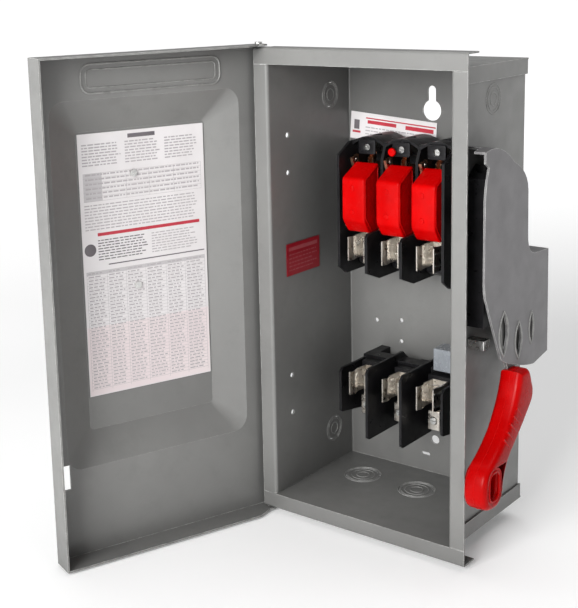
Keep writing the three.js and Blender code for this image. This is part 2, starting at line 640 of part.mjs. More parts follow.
function handleArm() {
  const outline = [
    [-92, 36], [-82, -30], [-72.5, -52], [-75, -89], [-69, -89],
    [-57, -76], [-58.5, -52], [-44, -30], [-53, 36],
  ];
  const x0 = HANDLE.armX;
  const arm = join(
    prism(outline, 'x', x0, x0 + HANDLE.armT),
    rod(20, 'x', HANDLE.y, HANDLE.z, x0, x0 + HANDLE.armT, 24),
  );
  return arm.subtract(rod(HANDLE.pinR + 0.4, 'x', HANDLE.y, HANDLE.z, x0 - 1, x0 + HANDLE.armT + 1, 14));
}

function gripOutline() {
  const s = new THREE.Shape();
  s.moveTo(-62, -54);
  s.lineTo(-76, -54);
  s.quadraticCurveTo(-80, -76, -98, -98);
  s.quadraticCurveTo(-112, -112, -126, -119);
  s.quadraticCurveTo(-138, -126, -138, -142);
  s.quadraticCurveTo(-138, -158, -122, -159);
  s.quadraticCurveTo(-107, -160, -104, -147);
  s.quadraticCurveTo(-103, -132, -92, -120);
  s.quadraticCurveTo(-72, -104, -54, -85);
  s.quadraticCurveTo(-48, -76, -54, -66);
  return s;
}

function handleGrip() {
  const { x0, x1 } = GRIP;
  const body = prism(gripOutline(), 'x', x0, x1, 8);
  const pocket = new THREE.Shape();
  pocket.moveTo(-73, -50);
  pocket.lineTo(-76, -90);
  pocket.lineTo(-68, -90);
  pocket.lineTo(-56, -76);
  pocket.lineTo(-58, -50);
  const armPocket = prism(pocket, 'x', HANDLE.armX - GAP, HANDLE.armX + HANDLE.armT + GAP);
  const fingerSlot = prism(roundedRect(-129, -114, -150, -127, 6), 'x', x0 - 1, x1 + 1, 5);
  return cut(body, armPocket, fingerSlot);
}

function pivotPin() {
  const head = HANDLE.armX + HANDLE.armT + GAP;
  return join(
    rod(HANDLE.pinR, 'x', HANDLE.y, HANDLE.z, wallOut, head + 0.2, 14),
    rod(8.5, 'x', HANDLE.y, HANDLE.z, head, head + 1, 18),
  );
}

function springCoil() {
  const { x, y, z0, r, turns, pitch } = SPRING;
  const profile = [new THREE.Vector2(0, 0)];
  for (let i = 0; i < turns; i++) {
    profile.push(new THREE.Vector2(r - 1, i * pitch), new THREE.Vector2(r, (i + 0.5) * pitch));
  }
  profile.push(new THREE.Vector2(r - 1, turns * pitch), new THREE.Vector2(0, turns * pitch));
  const geometry = new THREE.LatheGeometry(profile, 10);
  geometry.rotateX(Math.PI / 2);
  geometry.translate(x, y, z0);
  return toSolid(geometry);
}

add('mechanism_body', mechanismBody(), BLACK);
add('operating_spring', springCoil(), ZINC);
add('handle_stop', block(wallOut, 108, -101, -90, -32, -24), ZINC);
add('handle_guard', handleGuard(), PAINT);
add('handle_arm', handleArm(), PAINT);
add('handle_grip', handleGrip(), RED);
add('handle_pivot', pivotPin(), ZINC);

export default group;
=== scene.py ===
"""Looks for the three-pole fusible disconnect box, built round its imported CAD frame.

The scene is in metres, and the new pieces are drawn in mm in the same axes: the back face is at
y = 0, the door side faces -Y and the handle is on +X.
"""
import json
import math
import random

import bpy
from mathutils import Matrix, Vector


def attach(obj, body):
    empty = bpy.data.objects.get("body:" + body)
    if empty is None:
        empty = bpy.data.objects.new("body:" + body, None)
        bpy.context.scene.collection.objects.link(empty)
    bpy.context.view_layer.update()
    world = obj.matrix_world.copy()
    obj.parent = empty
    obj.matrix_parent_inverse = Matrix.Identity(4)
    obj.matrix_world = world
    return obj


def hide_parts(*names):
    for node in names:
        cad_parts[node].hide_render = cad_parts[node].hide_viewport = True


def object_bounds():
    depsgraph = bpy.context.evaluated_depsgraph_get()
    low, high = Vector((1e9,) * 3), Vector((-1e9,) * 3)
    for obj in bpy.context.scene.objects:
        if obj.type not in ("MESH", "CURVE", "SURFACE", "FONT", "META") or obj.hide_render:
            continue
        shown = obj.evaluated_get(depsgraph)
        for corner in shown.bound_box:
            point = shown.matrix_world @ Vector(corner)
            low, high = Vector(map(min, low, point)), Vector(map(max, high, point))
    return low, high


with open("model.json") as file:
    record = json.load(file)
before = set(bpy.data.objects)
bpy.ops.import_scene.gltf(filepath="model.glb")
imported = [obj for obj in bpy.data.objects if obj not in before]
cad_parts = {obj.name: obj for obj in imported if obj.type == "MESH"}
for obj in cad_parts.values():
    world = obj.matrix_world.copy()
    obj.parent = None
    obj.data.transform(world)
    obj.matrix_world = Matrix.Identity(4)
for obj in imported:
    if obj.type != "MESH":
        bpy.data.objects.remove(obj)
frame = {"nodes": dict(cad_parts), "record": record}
cad_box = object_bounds()
NODES = frame["nodes"]
MM = 0.001

# Driving measures, in mm and in the frame's axes.
POLES = {1: -36, 2: 0, 3: 36}  # pole number and its centre's x
SHEET = 1.5
SIDE_INNER = 91  # inner face of the side walls, from the middle
END_INNER = 200.3  # inner face of the end caps, from the middle
HINGE = Vector((-103.5, -123.5, 0))
OPEN = math.radians(-110)  # the door's turn from shut


# ------------------------------------------------------------------ materials
class Shader:
    """A node material with short helpers for noise, ramps, mixing and bump."""

    def __init__(self, name, **sockets):
        self.material = bpy.data.materials.new(name)
        self.material.use_nodes = True
        self.tree = self.material.node_tree
        self.bsdf = self.tree.nodes["Principled BSDF"]
        self.set(**sockets)
        self.position = self.node("ShaderNodeTexCoord").outputs["Object"]

    def set(self, **sockets):
        for name, value in sockets.items():
            self.bsdf.inputs[name.replace("_", " ")].default_value = value

    def node(self, kind, **settings):
        made = self.tree.nodes.new(kind)
        for name, value in settings.items():
            setattr(made, name, value)
        return made

    def link(self, source, target):
        self.tree.links.new(source, target)
        return self

    def to(self, socket, source):
        return self.link(source, self.bsdf.inputs[socket])

    def stretched(self, scale):
        mapping = self.node("ShaderNodeMapping")
        mapping.inputs["Scale"].default_value = scale
        self.link(self.position, mapping.inputs["Vector"])
        return mapping.outputs["Vector"]

    def noise(self, scale, detail=3.0, roughness=0.5, stretch=None):
        made = self.node("ShaderNodeTexNoise")
        made.inputs["Scale"].default_value = scale
        made.inputs["Detail"].default_value = detail
        made.inputs["Roughness"].default_value = roughness
        source = self.stretched(stretch) if stretch else self.position
        self.link(source, made.inputs["Vector"])
        return made.outputs["Fac"]

    def span(self, source, low, high, out_low=0.0, out_high=1.0):
        made = self.node("ShaderNodeMapRange", clamp=True)
        self.link(source, made.inputs["Value"])
        ends = (("From Min", low), ("From Max", high), ("To Min", out_low), ("To Max", out_high))
        for name, value in ends:
            made.inputs[name].default_value = value
        return made.outputs["Result"]

    def math(self, operation, a, b):
        made = self.node("ShaderNodeMath", operation=operation)
        for socket, value in zip(made.inputs, (a, b)):
            if isinstance(value, (int, float)):
                socket.default_value = value
            else:
                self.link(value, socket)
        return made.outputs["Value"]

    def mix(self, factor, a, b):
        made = self.node("ShaderNodeMix", data_type="RGBA")
        for socket, value in zip((made.inputs[0], made.inputs[6], made.inputs[7]), (factor, a, b)):
            if isinstance(value, (int, float)):
                socket.default_value = value
            elif isinstance(value, tuple):
                socket.default_value = (*value, 1.0)
            else:
                self.link(value, socket)
        return made.outputs[2]

    def bump(self, *layers):
        """Stacks (height, strength, distance) layers and feeds the shader's normal."""
        normal = None
        for height, strength, distance in layers:
            made = self.node("ShaderNodeBump")
            made.inputs["Strength"].default_value = strength
            made.inputs["Distance"].default_value = distance
            self.link(height, made.inputs["Height"])
            if normal is not None:
                self.link(normal, made.inputs["Normal"])
            normal = made.outputs["Normal"]
        return self.to("Normal", normal)

    def edges(self, radius):
        """1 along worn edges, 0 on open faces."""
        soft = self.node("ShaderNodeBevel", samples=6)
        soft.inputs["Radius"].default_value = radius
        flat = self.node("ShaderNodeNewGeometry").outputs["Normal"]
        dot = self.node("ShaderNodeVectorMath", operation="DOT_PRODUCT")
        self.link(soft.outputs["Normal"], dot.inputs[0])
        self.link(flat, dot.inputs[1])
        flat_dot, sharp_dot = 0.995, 0.9
        return self.span(dot.outputs["Value"], flat_dot, sharp_dot)

    def openness(self, reach):
        """0 deep in a corner, 1 where nothing stands within reach."""
        shade = self.node("ShaderNodeAmbientOcclusion", samples=8)
        shade.inputs["Distance"].default_value = reach
        return shade.outputs["AO"]


def shaded(colour, factor):
    return tuple(channel * factor for channel in colour)


def painted_steel(name, light, dark):
    """Grey enamel: faint mottling, orange peel, painted shade in the corners and thin bright edges."""
    s = Shader(name, Roughness=0.42, Coat_Weight=0.12, Coat_Roughness=0.25)
    mottle = s.span(s.noise(9, 4, 0.6), 0.3, 0.7)
    grime = s.span(s.noise(34, 6, 0.7), 0.52, 0.78, 0, 0.35)
    base = s.mix(mottle, dark, light)
    base = s.mix(grime, base, shaded(dark, 0.72))
    # Painted shade: the enamel turns much darker wherever other surfaces stand close, as in corners and
    # recesses.
    corner = s.span(s.openness(75 * MM), 0.35, 0.95, 0.6, 0.0)
    base = s.mix(corner, base, shaded(dark, 0.35))
    patchy = s.span(s.noise(160, 4), 0.35, 0.6, 0.15, 0.8)
    worn = s.math("MULTIPLY", s.edges(0.9 * MM), patchy)
    s.to("Base Color", s.mix(worn, base, (0.52, 0.52, 0.5)))
    s.to("Roughness", s.span(s.noise(60, 5), 0.3, 0.7, 0.35, 0.52))
    s.bump((s.noise(900, 2), 0.12, 0.12 * MM), (s.noise(14, 2), 0.08, 1.2 * MM))
    return s.material


def phenolic(name):
    """Moulded black thermoset: fine grain, flow swirls and slightly greyed edges."""
    s = Shader(name, Roughness=0.34, Specular_IOR_Level=0.22)
    swirl = s.span(s.noise(45, 5, 0.65), 0.35, 0.7)
    base = s.mix(swirl, (0.004, 0.004, 0.0045), (0.013, 0.0125, 0.014))
    rubbed = s.math("MULTIPLY", s.edges(0.6 * MM), 0.4)
    s.to("Base Color", s.mix(rubbed, base, (0.05, 0.048, 0.05)))
    s.to("Roughness", s.span(s.noise(120, 4), 0.3, 0.7, 0.26, 0.46))
    s.bump((s.noise(1500, 2), 0.15, 0.06 * MM), (s.noise(70, 3), 0.1, 0.5 * MM))
    return s.material


def red_plastic(name, light, dark):
    """Glossy moulded red with soft sink marks and paler rubbed edges."""
    s = Shader(name, Roughness=0.3, Specular_IOR_Level=0.08)
    tone = s.span(s.noise(28, 4, 0.6), 0.3, 0.7)
    base = s.mix(tone, dark, light)
    rubbed = s.math("MULTIPLY", s.edges(0.7 * MM), 0.4)
    s.to("Base Color", s.mix(rubbed, base, (0.85, 0.02, 0.018)))
    s.to("Roughness", s.span(s.noise(90, 4), 0.3, 0.7, 0.18, 0.34))
    s.bump((s.noise(700, 2), 0.08, 0.06 * MM), (s.noise(35, 2), 0.14, 0.8 * MM))
    return s.material


def plated(name, light, dark, roughness, grain):
    """Plated metal: rolled grain along one direction and dull patches."""
    s = Shader(name, Roughness=roughness, Metallic=1.0)
    dull = s.span(s.noise(70, 5, 0.65), 0.4, 0.75)
    lines = s.noise(420, 3, 0.6, stretch=grain)
    base = s.mix(dull, light, dark)
    s.to("Base Color", s.mix(s.span(lines, 0.35, 0.7, 0, 0.35), base, shaded(dark, 0.6)))
    s.to("Roughness", s.span(s.noise(200, 4), 0.3, 0.7, roughness - 0.1, roughness + 0.14))
    s.bump((lines, 0.18, 0.05 * MM), (s.noise(60, 3), 0.1, 0.4 * MM))
    return s.material


def paper(name, light, dark):
    """Printed vinyl: faint yellowing and a slight surface ripple."""
    s = Shader(name, Roughness=0.42, Coat_Weight=0.15, Coat_Roughness=0.3)
    stain = s.span(s.noise(22, 5, 0.6), 0.35, 0.75)
    s.to("Base Color", s.mix(stain, light, dark))
    s.to("Roughness", s.span(s.noise(130, 3), 0.3, 0.7, 0.34, 0.52))
    s.bump((s.noise(50, 2), 0.1, 0.4 * MM), (s.noise(1800, 1), 0.08, 0.03 * MM))
    return s.material


def clear_plastic(name):
    """Milky acrylic with a little light passing through."""
    s = Shader(name, Roughness=0.3, Transmission_Weight=0.2, IOR=1.49)
    haze = s.span(s.noise(120, 4), 0.3, 0.7)
    s.to("Base Color", s.mix(haze, (0.25, 0.27, 0.295), (0.28, 0.30, 0.325)))
    s.to("Roughness", s.span(s.noise(200, 3), 0.3, 0.7, 0.16, 0.34))
    s.bump((s.noise(300, 2), 0.1, 0.1 * MM))
    return s.material


PAINT = painted_steel("painted_steel", (0.204, 0.204, 0.196), (0.168, 0.167, 0.162))
# The handle guard's darker, purple-tinged enamel: partly its own finish, partly painted shade for its
# place on the unlit right side.
GUARD_PAINT_AND_SHADE = painted_steel("guard_paint_and_shade", (0.150, 0.145, 0.150), (0.125, 0.121, 0.125))
BLACK = phenolic("black_phenolic")
RED = red_plastic("red_plastic", (0.56, 0.0007, 0.001), (0.41, 0.0005, 0.0007))
TIN = plated("tin_plate", (0.72, 0.68, 0.62), (0.5, 0.45, 0.39), 0.3, (1, 1, 0.08))
ZINC = plated("zinc_plate", (0.76, 0.76, 0.74), (0.55, 0.55, 0.54), 0.28, (1, 0.1, 1))
COPPER = plated("copper", (0.8, 0.46, 0.3), (0.5, 0.27, 0.18), 0.3, (1, 1, 0.1))
PAPER = paper("label_paper", (0.74, 0.715, 0.72), (0.66, 0.635, 0.635))
LABEL_RED = paper("label_red", (0.30, 0.002, 0.012), (0.24, 0.0015, 0.009))
CLEAR = clear_plastic("clear_plastic")

MATERIALS = {
    "painted_steel": PAINT, "black_insulator": BLACK, "red_plastic": RED, "tin_plated": TIN,
    "zinc_plated": ZINC, "copper": COPPER, "paper_label": PAPER, "red_label": LABEL_RED,
    "clear_plastic": CLEAR,
}


# ------------------------------------------------------------------ finishing the CAD nodes
def soften_group(limit):
    """Geometry nodes that merge split corners and shade curves smooth below a limit in degrees."""
    group = bpy.data.node_groups.new("merge_and_shade", "GeometryNodeTree")
    group.interface.new_socket("Geometry", in_out="INPUT", socket_type="NodeSocketGeometry")
    group.interface.new_socket("Geometry", in_out="OUTPUT", socket_type="NodeSocketGeometry")
    nodes, links = group.nodes, group.links
    source, sink = nodes.new("NodeGroupInput"), nodes.new("NodeGroupOutput")
    bare = nodes.new("GeometryNodeRemoveAttribute")
    bare.inputs["Name"].default_value = "custom_normal"
    merge = nodes.new("GeometryNodeMergeByDistance")
    merge.inputs["Distance"].default_value = 0.005 * MM
    smooth = nodes.new("GeometryNodeSetShadeSmooth")
    sharp = nodes.new("GeometryNodeSetShadeSmooth")
    sharp.domain = "EDGE"
    sharp.inputs["Shade Smooth"].default_value = False
    angle = nodes.new("GeometryNodeInputMeshEdgeAngle")
    steep = nodes.new("FunctionNodeCompare")
    steep.inputs["B"].default_value = math.radians(limit)
    links.new(source.outputs[0], bare.inputs[0])
    links.new(bare.outputs[0], merge.inputs[0])
    links.new(merge.outputs[0], smooth.inputs[0])
    links.new(smooth.outputs[0], sharp.inputs[0])
    links.new(angle.outputs["Unsigned Angle"], steep.inputs["A"])
    links.new(steep.outputs["Result"], sharp.inputs["Selection"])
    links.new(sharp.outputs[0], sink.inputs[0])
    return group


SMOOTH_BELOW = 32  # degrees
SMOOTH_BELOW_ON_DOOR = 20  # keeps the shallow folds of the door's pressed pan
SOFTEN = soften_group(SMOOTH_BELOW)
CRISP = soften_group(SMOOTH_BELOW_ON_DOOR)


def finish_node(name, material, bevel, crisp):
    """Puts the looks of a record slot on a CAD node and eases its sharp edges."""
    node = NODES[name]
    node.data.materials.clear()
    node.data.materials.append(material)
    node.modifiers.new("merge", "NODES").node_group = CRISP if crisp else SOFTEN
    if bevel:
        edge = node.modifiers.new("edges", "BEVEL")
        edge.width = bevel
        edge.segments = 2
        edge.limit_method = "ANGLE"
        edge.angle_limit = math.radians(SMOOTH_BELOW_ON_DOOR if crisp else SMOOTH_BELOW)
        even = node.modifiers.new("even", "WEIGHTED_NORMAL")
        even.keep_sharp = True


def finish_nodes():
    """Every CAD node: labels stay unrounded, and the folded door gets a wider, crisper edge."""
    slot_of = {row["node"]: row["material_slot"] for row in frame["record"]["subparts"]}
    for name in sorted(NODES):
        thin = "label" in name
        crisp = name == "door_panel"
        bevel = 0.9 * MM if crisp else 0.4 * MM
        # The handle guard takes the darker enamel: partly its own finish, partly painted shade.
        material = GUARD_PAINT_AND_SHADE if name == "handle_guard" else MATERIALS[slot_of[name]]
        finish_node(name, material, 0 if thin else bevel, crisp)


finish_nodes()


# ------------------------------------------------------------------ building new pieces
# Where an outline's own u, v and depth go for each direction it is extruded in.
FACING = {
    "x": Matrix(((0, 0, 1, 0), (1, 0, 0, 0), (0, 1, 0, 0), (0, 0, 0, 1))),
    "y": Matrix(((1, 0, 0, 0), (0, 0, -1, 0), (0, 1, 0, 0), (0, 0, 0, 1))),
    "z": Matrix.Identity(4),
}
SHUT_TO_OPEN = Matrix.Translation(HINGE) @ Matrix.Rotation(OPEN, 4, "Z") @ Matrix.Translation(-HINGE)
SCALE = Matrix.Scale(MM, 4)
LIFT = {"x": Vector((1, 0, 0)), "y": Vector((0, 1, 0)), "z": Vector((0, 0, 1))}


def piece(name, mesh, finish, body, smooth=True):
    """A finished object of the assembly: it rides a CAD body and takes the material of its finish."""
    made = bpy.data.objects.new(name, mesh)
    bpy.context.scene.collection.objects.link(made)
    slot_name, material = finish
    mesh.materials.clear()
    mesh.materials.append(material)
    if smooth:
        made.modifiers.new("merge", "NODES").node_group = SOFTEN
    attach(made, body)
    return made


def mesh_of(curve, placed):
    """The mesh a curve makes, with a matrix in mm applied and brought to metres."""
    holder = bpy.data.objects.new("holder", curve)
    bpy.context.scene.collection.objects.link(holder)
    graph = bpy.context.evaluated_depsgraph_get()
    mesh = bpy.data.meshes.new_from_object(holder.evaluated_get(graph))
    bpy.data.objects.remove(holder)
    mesh.transform(SCALE @ placed)
    return mesh


def area(loop):
    """Twice the signed area of a loop, so above 0 where it runs anticlockwise."""
    return sum(a[0] * b[1] - b[0] * a[1] for a, b in zip(loop, loop[1:] + loop[:1]))


def slab(loops, axis, lo, hi, bevel=0.5, steps=3, turn=Matrix.Identity(4)):
    """A flat outline, with any holes after it, swept along an axis and rounded on both faces."""
    curve = bpy.data.curves.new("slab", "CURVE")
    curve.dimensions = "2D"
    curve.fill_mode = "BOTH"
    curve.extrude = (hi - lo) / 2 - bevel
    curve.bevel_depth = bevel
    curve.bevel_resolution = steps
    curve.offset = -bevel
    for i, loop in enumerate(loops):
        outward = area(loop) > 0
        points = loop if outward == (i == 0) else loop[::-1]
        spline = curve.splines.new("POLY")
        spline.points.add(len(points) - 1)
        for point, (u, v) in zip(spline.points, points):
            point.co = (u, v, 0, 1)
        spline.use_cyclic_u = True
    middle = Matrix.Translation(LIFT[axis] * ((lo + hi) / 2))
    return mesh_of(curve, turn @ middle @ FACING[axis])


def tube(points, radius, cyclic=False, turn=Matrix.Identity(4), steps=3):
    """A round bar along a path."""
    curve = bpy.data.curves.new("tube", "CURVE")
    curve.dimensions = "3D"
    curve.bevel_depth = radius
    curve.bevel_resolution = steps
    curve.use_fill_caps = not cyclic
    spline = curve.splines.new("POLY")
    spline.points.add(len(points) - 1)
    for point, place in zip(spline.points, points):
        point.co = (*place, 1)
    spline.use_cyclic_u = cyclic
    return mesh_of(curve, turn)


def quads(start, *pairs, steps=8):
    """Points along quadratic curves, each given by its control point and its end."""
    points = [start]
    for control, end in pairs:
        a = points[-1]
        for step in range(1, steps + 1):
            t = step / steps
            p, q, r = (1 - t) ** 2, 2 * t * (1 - t), t * t
            points.append(tuple(p * i + q * j + r * k for i, j, k in zip(a, control, end)))
    return points


def circle(u, v, r, count=24):
    """A loop of points round (u, v)."""
    angles = [2 * math.pi * k / count for k in range(count)]
    return [(u + r * math.cos(a), v + r * math.sin(a)) for a in angles]


def rounded(u0, u1, v0, v1, r, steps=5):
    """A rectangle's loop with corners of radius r."""
    corners = ((u1 - r, v0 + r, -90), (u1 - r, v1 - r, 0), (u0 + r, v1 - r, 90), (u0 + r, v0 + r, 180))
    points = []
    for u, v, start in corners:
        for k in range(steps + 1):
            a = math.radians(start + 90 * k / steps)
            points.append((u + r * math.cos(a), v + r * math.sin(a)))
    return points


def merged(meshes):
    """Several meshes as one."""
    points, faces = [], []
    for mesh in meshes:
        base = len(points)
        points += [tuple(vertex.co) for vertex in mesh.vertices]
        faces += [tuple(base + i for i in face.vertices) for face in mesh.polygons]
        bpy.data.meshes.remove(mesh)
    made = bpy.data.meshes.new("merged")
    made.from_pydata(points, [], faces)
    return made


FINISH = {key: (key, material) for key, material in MATERIALS.items()}
# The grip's darker copy of the red plastic is painted shade for its place on the unlit right side.
GRIP_RED_IN_SHADE = ("red_plastic", red_plastic("grip_red_in_shade", (0.42, 0.0007, 0.001), (0.31, 0.0004, 0.0006)))
INK = ("paper_label", paper("ink_dark", (0.10, 0.09, 0.10), (0.16, 0.14, 0.15)))
INK_GREY = ("paper_label", paper("ink_grey", (0.36, 0.34, 0.35), (0.44, 0.41, 0.42)))
INK_PALE = ("paper_label", paper("ink_pale", (0.52, 0.50, 0.51), (0.47, 0.45, 0.46)))
INK_RED = ("red_label", paper("ink_red", (0.50, 0.03, 0.05), (0.42, 0.02, 0.04)))
INK_PINK = ("paper_label", paper("ink_pink", (0.74, 0.66, 0.66), (0.70, 0.61, 0.62)))
INK_ROSE = ("paper_label", paper("ink_rose", (0.36, 0.07, 0.08), (0.31, 0.05, 0.06)))


# ------------------------------------------------------------------ red grip
GRIP_LEFT, GRIP_RIGHT = 109.5, 130.5  # its two faces, in x


def grip():
    """The handle's grip: a curved bar with a finger slot, a parting line and ribs on its outer face."""
    outline = quads(
        (-76, -54), ((-80, -76), (-98, -98)), ((-112, -112), (-126, -119)), ((-138, -126), (-138, -142)),
        ((-138, -158), (-122, -159)), ((-107, -160), (-104, -147)), ((-103, -132), (-92, -120)),
        ((-72, -104), (-54, -85)), ((-48, -76), (-54, -66)), ((-57, -54), (-62, -54)),
    )
    finger = rounded(-128.5, -114.5, -149.5, -127.5, 6)
    bar = slab([outline, finger], "x", GRIP_LEFT, GRIP_RIGHT, 5, 5)
    body = piece("grip_body", bar, GRIP_RED_IN_SHADE, "handle")
    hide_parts("handle_grip")

    middle = (GRIP_LEFT + GRIP_RIGHT) / 2
    seam = [(middle, y, z) for y, z in outline]
    piece("grip_parting_line", tube(seam, 0.35, True), GRIP_RED_IN_SHADE, "handle")

    rim_inset = 0.7
    for x in (GRIP_LEFT + rim_inset, GRIP_RIGHT - rim_inset):
        rim = [(x, y, z) for y, z in rounded(-130, -113, -151, -126, 7)]
        piece(f"grip_slot_rim_{int(x)}", tube(rim, 1.1, True), GRIP_RED_IN_SHADE, "handle")

    rib_x, ribs = GRIP_RIGHT - 0.4, 5
    for k in range(ribs):
        y, z = -80 - 5.5 * k, -86 - 5.2 * k
        rib = [(rib_x, y - 4, z + 4), (rib_x, y + 5, z - 5)]
        piece(f"grip_rib_{k + 1}", tube(rib, 0.9), GRIP_RED_IN_SHADE, "handle")


# ------------------------------------------------------------------ red blade carriers
HUB_HALF = 10.5  # half the length of a carrier's hub
SHIELD_RIGHT = 13.2  # right face of its shield, from the pole's centre
ROTOR_Y, ROTOR_Z = -48, 76  # the shaft's axis


def carrier(n, x):
    """One pole's blade carrier: a chamfered shield on a hub, with rims, pegs and contact rivets."""
    red = FINISH["red_plastic"]
    side = quads(
        (-80, 60), ((-80, 94), (-80, 94)), ((-80, 97), (-77.5, 98.2)), ((-58, 108.2), (-58, 108.2)),
        ((-55, 109), (-55, 106)), ((-55, 50), (-55, 50)), ((-55, 46.5), (-59, 46.5)),
        ((-68, 46.5), (-68, 46.5)), ((-71, 46.5), (-73, 49)), ((-79, 57.5), (-79, 57.5)), steps=4,
    )
    shield = slab([side], "x", x - HUB_HALF, x + SHIELD_RIGHT, 1.6, 4)
    tyre, bore = (circle(ROTOR_Y, ROTOR_Z, r, 32) for r in (10.4, 6.9))
    hub = slab([tyre, bore], "x", x - HUB_HALF, x + HUB_HALF, 0.6, 2)
    body = piece(f"carrier_{n}", merged([shield, hub]), red, "rotor")
    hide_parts(f"blade_carrier_{n}")

    rim_inset = 0.3
    rim = ((-57.5, 50), (-57.5, 105), (-60.5, 105.2), (-76.5, 96.6), (-78, 94), (-78, 62), (-68.5, 49))
    for hand, edge in (("l", x - HUB_HALF + rim_inset), ("r", x + SHIELD_RIGHT - rim_inset)):
        path = [(edge, y, z) for y, z in rim]
        piece(f"carrier_rim_{n}_{hand}", tube(path, 0.8, True), red, "rotor")

    for z in (66, 88):
        peg = slab([circle(x, z, 2.6, 20)], "y", -80.6, -79, 0.5, 2)
        piece(f"carrier_peg_{n}_{z}", peg, red, "rotor")

    blade_left, blade_right, proud = x - 13.4, x - 10.8, 0.35
    for y, z in ((-55, 110.5), (-52, 104)):
        rivet = slab([circle(y, z, 1.9, 18)], "x", blade_left - proud, blade_right + proud, 0.3, 2)
        piece(f"contact_rivet_{n}_{int(z)}", rivet, FINISH["tin_plated"], "rotor")


# ------------------------------------------------------------------ springs, clips and screws
CLIP_BANDS = {"line": (25, 36), "load": (-104, -92)}  # z of each fuse clip's two spring wires


def coil():
    """The operating spring: an upright helix."""
    centre_x, centre_y, foot_z = 101, -92, 25.4
    length, turns, steps, radius = 70, 9, 16, 4.1
    points = []
    for k in range(turns * steps + 1):
        a = 2 * math.pi * k / steps
        rise = length * k / (turns * steps)
        points.append((centre_x + radius * math.cos(a), centre_y + radius * math.sin(a), foot_z + rise))
    body = piece("spring_coil", tube(points, 0.95), FINISH["zinc_plated"], "enclosure")
    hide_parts("operating_spring")


def clip_spring(name, x, z):
    """The steel wire that squeezes a fuse clip's leaves together."""
    half = quads((-6.8, -70), ((-9.6, -70), (-9.8, -60)), ((-9.8, -51), (-8.6, -47.2)))
    half.append((-6, -47.9))
    path = half + [(-u, y) for u, y in half[::-1]]
    piece(name, tube([(x + u, y, z) for u, y in path], 0.55), FINISH["zinc_plated"], "enclosure")


def slotted_screw(name, x, y, z, r):
    """A round head facing the door, with a driver slot between two raised halves."""
    head = slab([circle(x, z, r, 28)], "y", y - 1.4, y, 0.6, 3)
    slot_half, chord, dome = 0.45, r * 0.8, r * 0.82
    half = [(chord, slot_half), (-chord, slot_half)]
    for k in range(11):
        a = math.radians(20 + 14 * k)
        half.append((dome * math.cos(a), dome * math.sin(a)))
    raised = [
        slab([[(x + u, z + way * v) for u, v in half]], "y", y - 2, y - 1, 0.2, 1) for way in (1, -1)
    ]
    piece(name, merged([head, *raised]), FINISH["zinc_plated"], "enclosure")


def small_hardware():
    """Clip wires and screws of each pole, the lug shrouds, the red button and the pivot's nut."""
    screw_y, screw_r = -47.3, 3.1
    lug_z, wire_hole_r, shroud_half = 122, 3.1, 9
    for n, x in POLES.items():
        for end, bands in CLIP_BANDS.items():
            for z in bands:
                clip_spring(f"{end}_clip_wire_{n}_{abs(z)}", x, z)
        for end in ("load", "line"):
            slotted_screw(f"{end}_clip_screw_{n}", x, screw_y, sum(CLIP_BANDS[end]) / 2, screw_r)
        rim = rounded(x - shroud_half, x + shroud_half, 115.6, 129, 2)
        shroud = slab([rim, circle(x, lug_z, wire_hole_r)], "y", -55, -53.5, 0.4, 2)
        piece(f"line_lug_shroud_{n}", shroud, FINISH["black_insulator"], "enclosure")

    button = slab([circle(-8, 119.6, 3.8)], "y", -58.6, -55.2, 1.2, 3)
    piece("middle_pole_button", button, FINISH["red_plastic"], "enclosure")

    pivot_y, pivot_z = -72, 36
    hexagon, bore = circle(pivot_y, pivot_z, 6.4, 6), circle(pivot_y, pivot_z, 3.2, 18)
    nut = slab([hexagon, bore], "x", 116.4, 116.9, 0.15, 1)
    piece("pivot_nut", nut, FINISH["zinc_plated"], "enclosure")


# ------------------------------------------------------------------ pressed features in the steel
END_KNOCKOUTS = {1: -50, 2: 10}  # number and x, on the top and on the floor
END_RINGS = (6, 11, 14.8, 17.6)  # radii
SIDE_KNOCKOUTS = {1: 165, 2: -165}  # number and z, on the left wall
SIDE_RINGS = (5.5, 9.8, 12.6)
RING_WIRE = 0.42


def ring(name, centre, axis, r):
    """A thin raised circle on a wall."""
    placed = Matrix.Translation(centre) @ FACING[axis]
    points = [tuple(placed @ Vector((u, v, 0))) for u, v in circle(0, 0, r, 40)]
    piece(name, tube(points, RING_WIRE, True), FINISH["painted_steel"], "enclosure")


def knockout_rings():
    """Concentric rings on both faces of each knocked-out wall, and one blank set high on the right."""
    end_y, side_y = -44, -33
    for side, sign in (("top", 1), ("bottom", -1)):
        for n, x in END_KNOCKOUTS.items():
            for r in END_RINGS:
                for face, z in (("in", END_INNER), ("out", END_INNER + SHEET)):
                    ring(f"{side}_ring_{n}_{face}_{int(r * 10)}", (x, end_y, sign * z), "z", r)
    for n, z in SIDE_KNOCKOUTS.items():
        for r in SIDE_RINGS:
            for face, x in (("in", SIDE_INNER), ("out", SIDE_INNER + SHEET)):
                ring(f"side_ring_{n}_{face}_{int(r * 10)}", (-x, side_y, z), "x", r)
    for r in SIDE_RINGS:
        ring(f"right_ring_{int(r * 10)}", (SIDE_INNER + SHEET, -60, 172), "x", r)


def guard_slots():
    """Raised lips pressed round the three padlock slots of the handle guard."""
    slots_in_guard = {1: (-87, -19, 18, 7), 2: (-60, -31, 15, 5), 3: (-36, -26, 13, 3)}
    guard_face, lip = 118.7, 1.3
    for n, (y, z, half_height, half_width) in slots_in_guard.items():
        reach, bulge = half_height + lip, 2 * (half_width + lip)
        foot, crown = (y, z - reach), (y, z + reach)
        loop = quads(foot, ((y + bulge, z), crown), ((y - bulge, z), foot), steps=12)[:-1]
        points = [(guard_face, u, v) for u, v in loop]
        piece(f"guard_slot_lip_{n}", tube(points, 1.0, True), FINISH["painted_steel"], "enclosure")


